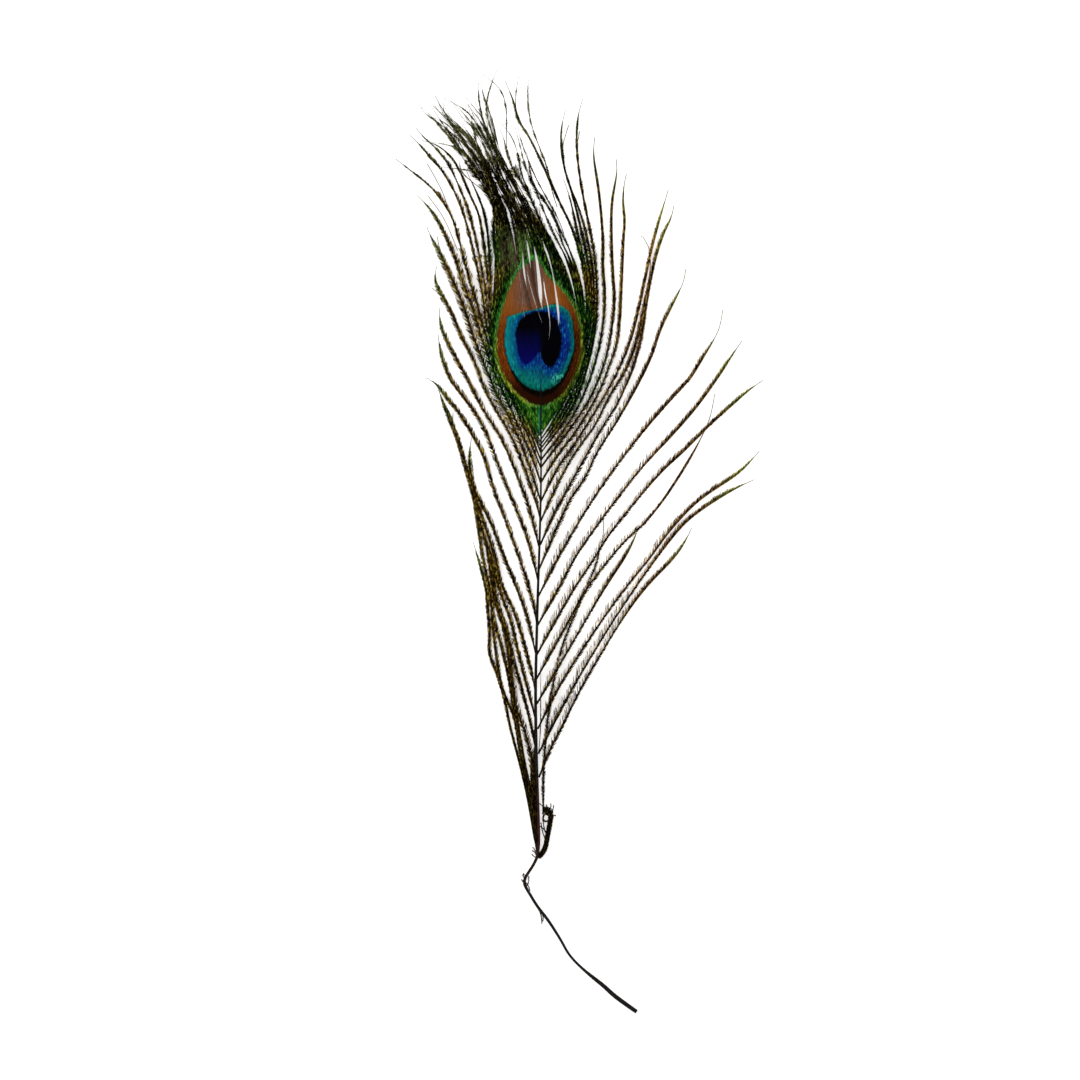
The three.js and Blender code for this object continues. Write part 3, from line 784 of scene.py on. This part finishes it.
def left_group(first, last):
    parts = []
    for number in range(first, last):
        points = LEFT_BARBS[number]
        line = from_shaft(points)
        upper = number / len(LEFT_BARBS)
        body = follow(line[:, 1], {24: 0.55, 62: 1, 190: 1, 212: 0.7})
        if number >= FULLER_FROM:
            body *= follow(line[:, 1], {130: 1, 146: 1.5, 180: 1.4, 200: 1})
        if number == BROAD_BARB:
            body = np.full(len(line), 1.35)
        pale = (0.4, 0.7) if number == BROAD_BARB or number >= ABOVE_BUNDLE_FROM else (0.0, 0.0)
        parts += barb(line, -1, tipward=(0.85 + 0.3 * upper) * body, closing=8.0,
                      rootward=(0.7 + 0.3 * upper) * body, pale=pale, pale_foot=0.35, hair=SHORT_HAIR,
                      spacing=0.09, pitch=0.45, half=0.12, dash=0.25 if number >= RAGGED_FROM else 0.0,
                      blade=0.4)
    return parts


parts = left_group(0, ABOVE_BUNDLE_FROM)
for points in MASS_STRANDS:
    line = arched(points, shaft_height(points[0][1]), 1.2)
    line[:, 2] = np.maximum(line[:, 2], shaft_height(points[0][1]) - 0.3)
    parts += barb(line, -1, tipward=0.55, rootward=0.55, hair=0.5, closing=4.0, core=1.15,
                  spacing=0.08, pitch=0.5)
grow("barbs_left_low", parts)

parts = left_group(ABOVE_BUNDLE_FROM, len(LEFT_BARBS))
for points in SPLIT_ENDS:
    parts.append(tube(arched(points, 0.8), 0.12, 0.12, 0.5, reach=DARK))
grow("barbs_left_high", parts)


# ---------------------------------------------------------------- the eye
# Above the last loose barbs the barbs stand less than a millimetre apart, and their barbules close
# up into the vane of the eye. Here and there two barbs part and a pale slit opens between them.
# The partings are given from right to left, and between each two a panel of barbs fills up.

# Each parting starts on the shaft: x, y and, where it is open, how wide the slit is there.
PARTINGS = ways("""
    0.3,137 2.7,140 8.3,150 13.8,166 14.2,180,0.1 11,195,1.6 9.3,200,2.6 6.7,205,3.2
    0.3,142 5.3,150 9.9,160 12.2,170 11.2,180,0.25 8.5,190,0.9 3.5,200,1.3 0.5,205,1.3
    0.3,154.5 3.6,160 5.3,166 5.9,170 6.1,172,0.45 5.9,175,0.85 4,188,0.3 2.6,193.5,0.7 1.3,196.5,1
        0.3,199,0.8 -0.3,200.5 -2.3,205
    0.3,159.5 2.1,164 3.2,167.2,0.2 3.2,172.5,0.3 1.4,183,0.5 1.1,185.5 0.8,190 -1.5,200 -3.4,205
    0.3,161.5 2.4,167 1.2,174 0.4,177.6 0.15,179,1.05 -0.1,184,1.2 -1.1,192.5,0.8 -2,197 -2.8,200
        -4.6,205
    0.3,162.5 1.9,167 -2.1,184 -2.9,189 -3.7,195,0.75 -4.2,198.4,0.8 -4.8,201,0.4 -5.7,205
    0.3,163.6 1.7,167,0.14 -1.9,179.2,0.18 -4.2,188.2,0.15 -4.4,191 -5.5,200 -6.6,205
    0.1,162 -1.1,170 -4.3,183.5,0.1 -4.9,186.5,0.6 -5.4,190.4,0.6 -5.4,193,0.1 -5.5,196.2,0.4
        -6.4,201.8,0.35 -7.3,205
    0.1,158 -2.9,163 -4.3,170 -5,174,0.12 -7.7,195,0.1 -8.6,200,0.35 -9.8,205,0.4
    0.1,150 -6.5,160 -7.6,166 -8.6,174,0.05 -10.1,195,0.1 -10.8,200,0.4 -11.9,205,0.5
    0.1,139.5 -0.6,141 -7.4,150 -11.4,160 -13,174 -12.2,184 -12.1,195,0.2 -13.4,205,0.5
    0.1,135 -2.7,140 -8.8,150 -13.4,160 -15.3,170 -14.5,190 -14.8,200 -15.4,205
""")
# How many barbs fill each panel, and between which heights their barbules end.
PANEL_BARBS = [3, 5, 3, 1, 2, 2, 2, 2, 3, 6, 3]
VANE_TOP = [(190.0, 198.0)] + [(197.0, 205.0)] * 10
VANE_STEP = 1.0
VANE_RISE = 1.6
VANE_FOOT_TOP = 160
WIDEST_BLADE = 0.9
EYE_CORE = 0.13
EYE_SPACING = 0.15

# The crest's fan: where its foot is crossed, from 0 at the left to 1 at the right, and the way up
# from there.
CREST_PLACES = (0.00, 0.06, 0.15, 0.24, 0.31, 0.40, 0.46, 0.53, 0.62, 0.72, 0.85, 0.95, 1.00, 1.06,
                1.14, 1.24)
CREST_WAYS = ways("""
    -15.2,207 -17.8,214 -23.5,222.5 -33.1,237.3 -39.4,243.2
    -14.3,207 -17.3,215 -36.2,241
    -13,207 -18,219 -33.5,240.3 -36.2,242.2
    -11.8,207 -17.1,219.5 -34.1,245.3
    -11,207 -19.3,224.6 -26,232.6 -29.5,235.6 -32.4,239 -34.8,240.8
    -9.7,207 -19.2,227.9 -23.3,233.5 -30.3,240.1 -31,244.3
    -8.9,207 -12.7,215 -16.5,224.5 -24.6,238 -29.5,244.5
    -8.1,207 -12.2,215 -19.5,235.6 -21.3,238 -24.8,245.7
    -6.8,207 -16.2,230 -18.5,239 -21.3,244.3
    -5.2,207 -13.4,225 -19.8,252
    -3.4,207 -14.6,233 -16.6,247 -18.8,252.6
    -1.9,207 -7.4,219.5 -13,230.3 -16.2,245.3 -13.2,254.4
    -1.2,207.5 -10.6,228 -10.6,239.7 -11.3,243.9 -15,249.5 -19.2,252.7
    0,207.2 -7.8,221.5 -9.8,226
    2.3,207.2 -2.9,221 -2.7,224.6 -3.6,228
    4.1,208 -2.7,219 -7,235.5
""")
CREST_FOOT = (-15.4, 1.15)
# Barbs whose place at the foot is past this stand free of the crest.
FREE_PLACE = 1.03
# The rest gather in bundles: where these are, how tightly, how far up and over what stretch.
CREST_BUNDLES = np.array((0.02, 0.12, 0.22, 0.33, 0.44, 0.53, 0.63, 0.74, 0.86, 0.97))
GATHER, GATHER_AT, GATHER_OVER = 0.45, 0.15, 0.16
# How far a barb strays to its neighbours' ends, and how many keep how much of their length.
STRAY = 0.19
SPREAD = 1.6
WHOLE_SHARES = (1.0, 0.9, 0.8, 0.7, 0.6)
WHOLE_CHANCES = (0.4, 0.2, 0.2, 0.1, 0.1)
FAN_POINTS = 40


def evenly(line, count):
    return read_at(np.linspace(0, 1, count), np.linspace(0, 1, len(line)), line)


fan = np.array([evenly(smooth_line(points, 1.0), FAN_POINTS) for points in CREST_WAYS])


def crest_way(place):
    """The way up through the crest of a barb that crosses its foot at a place from 0 to 1."""
    nearest = int(np.clip(np.searchsorted(CREST_PLACES, place), 1, len(CREST_PLACES) - 1))
    low, high = CREST_PLACES[nearest - 1:nearest + 1]
    share = np.clip((place - low) / (high - low), 0, 1)
    return fan[nearest - 1] * (1 - share) + fan[nearest] * share


def to_line(points, line):
    """The distance from each point to a line, seen from above."""
    return np.linalg.norm(points[:, None, :2] - line[None, :, :2], axis=2).min(1)


def eye_barb(middle, right_border, left_border, top):
    """A barb of the eye from the shaft to the crest's foot: core, blade and barbules."""
    strand = rng.uniform()
    line = arched(middle, shaft_height(min(VANE_FOOT_TOP, middle[0, 1])), 0.0, VANE_STEP)
    line[:, 2] += VANE_RISE * np.linspace(0, 1, len(line)) ** 2 + rng.uniform(-0.08, 0.08)
    full = follow(line[:, 1], {top[0]: 1, top[1]: 0})
    widths = [np.clip(to_line(line, border), 0.05, WIDEST_BLADE)
              for border in (left_border, right_border)]
    blade = line.copy()
    blade[:, 2] -= 0.06
    cover = follow(line[:, 1], {168: 1.25, 174: 1.02})
    half = np.maximum(0.5 * (widths[0] + widths[1]) * full * cover, 0.8 * EYE_CORE)
    eye_parts.append(tube(line, EYE_CORE, EYE_CORE, strand, reach=0.12))
    eye_parts.append(tube(blade, half, 0.05, strand, reach=0.32, fleck=rng.uniform(0.15, 0.5), sides=4))
    for side, width in zip((1, -1), widths):
        reach = 1.1 * width * full
        eye_parts.append(fringe(line, side, reach, strand, EYE_SPACING, half=0.08, droop=0.0,
                                foot_mark=0.18, pitch=0.5, pull=0.2, ragged=0.15))
    return line


crest_parts = []
shaft_web = smooth_line(SHAFT[-3:, :3], 1.0)
shaft_web[:, 2] -= 0.35
eye_parts = [tube(shaft_web, 0.75, 0.05, 0.5, reach=0.32, fleck=0.35, sides=4)]
borders = [smooth_line([(*point, 0)[:3] for point in points], 1.0) for points in PARTINGS]
for parting_right, parting_left, count, top in zip(borders, borders[1:], PANEL_BARBS, VANE_TOP):
    right_edge = evenly(parting_right, 90)
    left_edge = evenly(parting_left, 90)
    right_edge[:, 0] -= 0.5 * np.maximum(right_edge[:, 2], 0)
    left_edge[:, 0] += 0.5 * np.maximum(left_edge[:, 2], 0)
    panel = [right_edge[:, :2] * (1 - share) + left_edge[:, :2] * share
             for share in np.linspace(0, 1, 2 * count + 1)]
    for number in range(count):
        right_border, middle, left_border = panel[2 * number:2 * number + 3]
        line = eye_barb(middle[::5], right_border, left_border, top)

        # the same barb goes on through the crest
        place = (line[-1, 0] - CREST_FOOT[0]) / (CREST_FOOT[1] - CREST_FOOT[0])
        place = max(0, place) + rng.uniform(-0.04, 0.04)
        climb = np.linspace(0, 1, FAN_POINTS)[:, None]
        bundle = CREST_BUNDLES[np.abs(CREST_BUNDLES - place).argmin()]
        in_crest = place < FREE_PLACE
        gather = GATHER * np.exp(-((climb - GATHER_AT) / GATHER_OVER) ** 2) * in_crest
        far_place = abs(0.02 + 0.78 * place + rng.normal(0, STRAY)) if in_crest else place
        way = crest_way(place) * (1 - climb) + crest_way(far_place) * climb
        way = way * (1 - gather) + crest_way(bundle) * gather
        way += rng.uniform(-SPREAD, SPREAD, 2) * climb
        whole = 1.0 - 0.22 * np.clip((far_place - 0.45) / 0.3, 0, 1) * in_crest
        whole *= rng.choice(WHOLE_SHARES, p=WHOLE_CHANCES)
        way = way[:int(len(way) * whole)]
        upper = np.vstack((line[-12::4, :2], way[2::3]))
        upper = arched(upper, line[-1, 2], rng.uniform(-0.3, 0.6), 0.8)
        swing = 0.7 * wave(np.arange(len(upper)) * 0.8, 10.0) * np.clip(np.arange(len(upper)) / 12, 0, 1)
        upper[:, 0] += swing
        slim = follow(upper[:, 1], {196: 1, 206: 1.1, 220: 1.15, 232: 1, 242: 0.5})
        slim *= rng.uniform(0.5, 1.25) * (1.2 if place > 0.85 else 1.0) if in_crest else 0.6
        comes_and_goes = follow(upper[:, 1], {202: 0.1, 212: 0.45})
        sheet = follow(upper[:, 1], {202: 0.42, 216: 0.3}) * in_crest
        crest_parts += barb(upper, 1, tipward=slim, rootward=0.9 * slim, hair=2.5, closing=12.0,
                            core=0.55, spacing=0.108, pitch=0.6, dash=comes_and_goes, blade=sheet)

# A few more barbs cross the crest at a slant and stand free of it.
CREST_WISPS = ways("""
    -16.7,215.5 -19,219.5 -32.4,222.3
    -18.2,219 -25.5,227.4 -38,230.7
    -15.5,212 -22,217.4 -25.4,220.3 -26.1,226.9
    -20.5,222 -24,226.6 -28.4,230.5 -34.5,238.7
    -14.5,224 -20.5,234 -24,236.5 -27.8,242.5
    -13.8,226 -16,232 -19.3,236.5 -20.8,241
    -19.8,224 -24,229 -34,237.2 -37.5,239.6 -39.4,243.2
    -18,223 -21,229 -30.6,239.4 -34.1,245.3
    -19,226 -24.5,231 -31.5,241.5 -30.4,244.4
    -22,224 -25,228 -27.3,233 -30.5,236.5 -34.8,238.2
    -17,229 -22.6,239 -30.8,244.3
    -16.4,230 -17.6,236 -24.8,245.7
    -15,228 -17.6,234 -19.8,246 -19.4,252.4
    -14,228 -17.2,240.4 -15,250.6 -13.2,254.4
    -10.6,228 -11.9,245.6 -19.2,252.7
    -13.4,229 -15.4,237 -18.9,248 -18.6,251
    5.5,209 3.3,216 2.8,220 -3.2,237.4 -3.8,249.6 -3.2,252.8
    -7.6,239.5 -7.9,243 -6.6,253
    7.6,200 7.3,202 -2.3,220.5 -7,233.8 -7.1,236.5
""")
for points in CREST_WISPS:
    line = arched(points, 2.6, rng.uniform(0, 0.6), 0.8)
    crest_parts += barb(line, 1, tipward=0.5, rootward=0.45, hair=3.0, closing=9.0, core=0.45,
                        spacing=0.12, pitch=0.7, dash=0.3)

eye = grow("eye", eye_parts)
grow("crest", crest_parts)
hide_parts("feather")


# ---------------------------------------------------------------- barbs along the eye's borders
# Beside the eye a few barbs stand close but free, with full dark barbules, and run on above it.
# They leave the shaft between the loose barbs and the eye, and are made as the loose ones are.

BORDER_BARBS = ways("""
    0.3,130.2 7.4,140 12.7,150 17.6,170 17.8,190 12.7,219 11.7,231.5 12.4,239.6 13.7,243.9
    0.3,131.7 6.3,140 11.7,150 16.9,170 16.7,190 13.6,205 9.2,218
    0.3,133 5.2,140 10.6,150 14,160 16.6,180 11.2,210 7.6,222.3 7.2,226.5 6.6,230.4 7.3,237.4 8.2,240.4
    0.3,134.5 4.1,140 13.4,160 15.8,180 12.2,200 9.1,214 7.5,218.2
    0.3,136 8.8,150 12.7,160 15,180 11,200 5.8,211.6 -4.2,233 -7,236.8 -8.2,242.5 -11.2,249.9
    0.1,132.4 -12.6,160 -15.3,170 -16,180 -19.9,208 -21.3,210.5 -28.2,225.1 -34.5,230 -38,230.7
    0.1,133.8 -12.7,160 -15,170 -17.6,206 -23.6,221
""")
parts = []
for points in BORDER_BARBS:
    side = 1 if points[-1][0] > points[0][0] or points[1][0] > 0 else -1
    line = from_shaft(points, -0.2)
    body = follow(line[:, 1], {194: 1, 208: 0.55})
    parts += barb(line, side, tipward=1.05 * body, rootward=0.95 * body, hair=3.0, closing=10.0,
                  core=0.85, spacing=0.1, pitch=0.5, dash=0.15, blade=0.45)
grow("barbs_beside_eye", parts)


# ---------------------------------------------------------------- the tuft of down
# Where the barbs begin, a few downy barbs are matted into a small dark loop with whiskers. Each is
# a thin closed tube with short barbules that stand well out, and all grow from the shaft.

TUFT_ROPE, TUFT_LOOP, TUFT_TOP, *TUFT_HAIRS = ways("""
    -0.6,0.8 0.6,2 1.7,4 2.2,6.5 2.9,10.2 3.4,13 3.4,14.8 2.5,15.9 1.4,16
    3.1,13.6 2.8,14.6 2,14.9 1.1,14.4 0.9,13.2 1.1,12.2 1.9,11.9 2.8,12.3
    3.6,13.2 3.5,14.8 2.6,15.3 1.6,15.2 1.1,14.9
    3.5,14.6 4.1,15.6 3.6,16.3 2.2,16.7
    3.8,15.4 4.3,16.5 4.4,17.2
    3.8,14.5 4.6,14.2 5.1,13.8
    3,16.2 3.5,17 3.4,17.8
    2.2,16.4 2.1,17.4
    -0.2,18.2 0.6,17.4 1.5,16.4
    -0.2,10.9 0.8,10.2 1.9,8.6
    0.3,12 0.8,9 1.8,6
    1.8,8.6 1.1,11 0.9,13
    -1.1,1.4 -1.8,2.4 -2.6,2.6
    -1.2,2.2 -1.9,3.4 -2.4,3.7
    -1,0.8 -1.9,0.9 -2.6,1.5
    -4.7,-6.2 -5.4,-5.4 -5.3,-4.6
    -4.4,-5.4 -5.2,-4.9 -5.6,-5.3
    -4.9,-7.6 -5.5,-7.2 -5.9,-6.6
    -4.9,-7 -4,-8 -3.4,-9.2 -3.3,-10.2
    -4.4,-8.6 -3.7,-7.4 -3.6,-5.6
    -1,-15.2 0.1,-17.2 0.5,-18.8 0.6,-20.8
    0.4,-17 1,-18.6 0.9,-20
""")
parts = []
for points in [TUFT_ROPE] * 14 + [TUFT_LOOP] * 2 + [TUFT_TOP] * 7 + TUFT_HAIRS:
    thick = points in (TUFT_ROPE, TUFT_LOOP, TUFT_TOP)
    shift = rng.uniform(-0.5, 0.5, 2) * (points is not TUFT_LOOP) if thick else np.zeros(2)
    height = shaft_height(points[0][1])
    line = arched(np.array(points) + shift, height, 0.4 if thick else 0.0, 0.3)
    for side in (1, -1):
        parts.append(fringe(line, side, 0.42 if thick else 0.25, 0.3, spacing=0.07,
                            lean=math.radians(50), half=0.06, droop=1.0, pitch=0.5, foot_mark=0.2))
    radius = 0.2 if thick else 0.11
    parts.append(tube(line, radius, radius, 0.3))
grow("tuft", parts)


# ---------------------------------------------------------------- table, light and camera
# The feather lies on a plain white table under a broad soft light, seen from straight above. The
# table is a single flat sheet.

VIEW_MIDDLE = (0.0, 102.4)
VIEW_WIDTH = 345.6
LENS = 85.0
SENSOR = 36.0
VIEW_HEIGHT = VIEW_WIDTH * LENS / SENSOR

bm = bmesh.new()
bmesh.ops.create_grid(bm, x_segments=1, y_segments=1, size=2.5)
table_mesh = bpy.data.meshes.new("table")
bm.to_mesh(table_mesh)
bm.free()
table = in_scene("table", table_mesh)
white = Finish("white_table", roughness=0.9, specular=0.0)
white.shader.inputs["Base Color"].default_value = (0.8, 0.79, 0.78, 1.0)
white.shader.inputs["Emission Color"].default_value = (1.0, 0.985, 0.97, 1.0)
white.shader.inputs["Emission Strength"].default_value = 0.55
table.data.materials.append(white.material)

world = bpy.data.worlds.new("room")
world.use_nodes = True
world.node_tree.nodes["Background"].inputs["Color"].default_value = (1.0, 0.99, 0.98, 1.0)
world.node_tree.nodes["Background"].inputs["Strength"].default_value = 0.55
bpy.context.scene.world = world


def soft_lamp(name, place, size, power):
    light = bpy.data.lights.new(name, "AREA")
    light.shape = "DISK"
    light.size = size
    light.energy = power
    lamp = in_scene(name, light)
    lamp.location = place
    lamp.rotation_euler = (-Vector(place)).to_track_quat("-Z", "Y").to_euler()


soft_lamp("main_light", (-0.5, 0.4, 1.3), 1.0, 9.0)
soft_lamp("second_light", (0.7, -0.2, 1.2), 0.8, 5.0)

bpy.context.scene.view_settings.view_transform = "Standard"
camera_data = bpy.data.cameras.new("camera")
camera_data.lens = LENS
camera_data.sensor_width = SENSOR
camera = in_scene("camera", camera_data)
camera.location = (ORIGIN[0] + VIEW_MIDDLE[0] * MM, ORIGIN[1] + VIEW_MIDDLE[1] * MM,
                   (VIEW_HEIGHT + 3.0) * MM)
bpy.context.scene.camera = camera
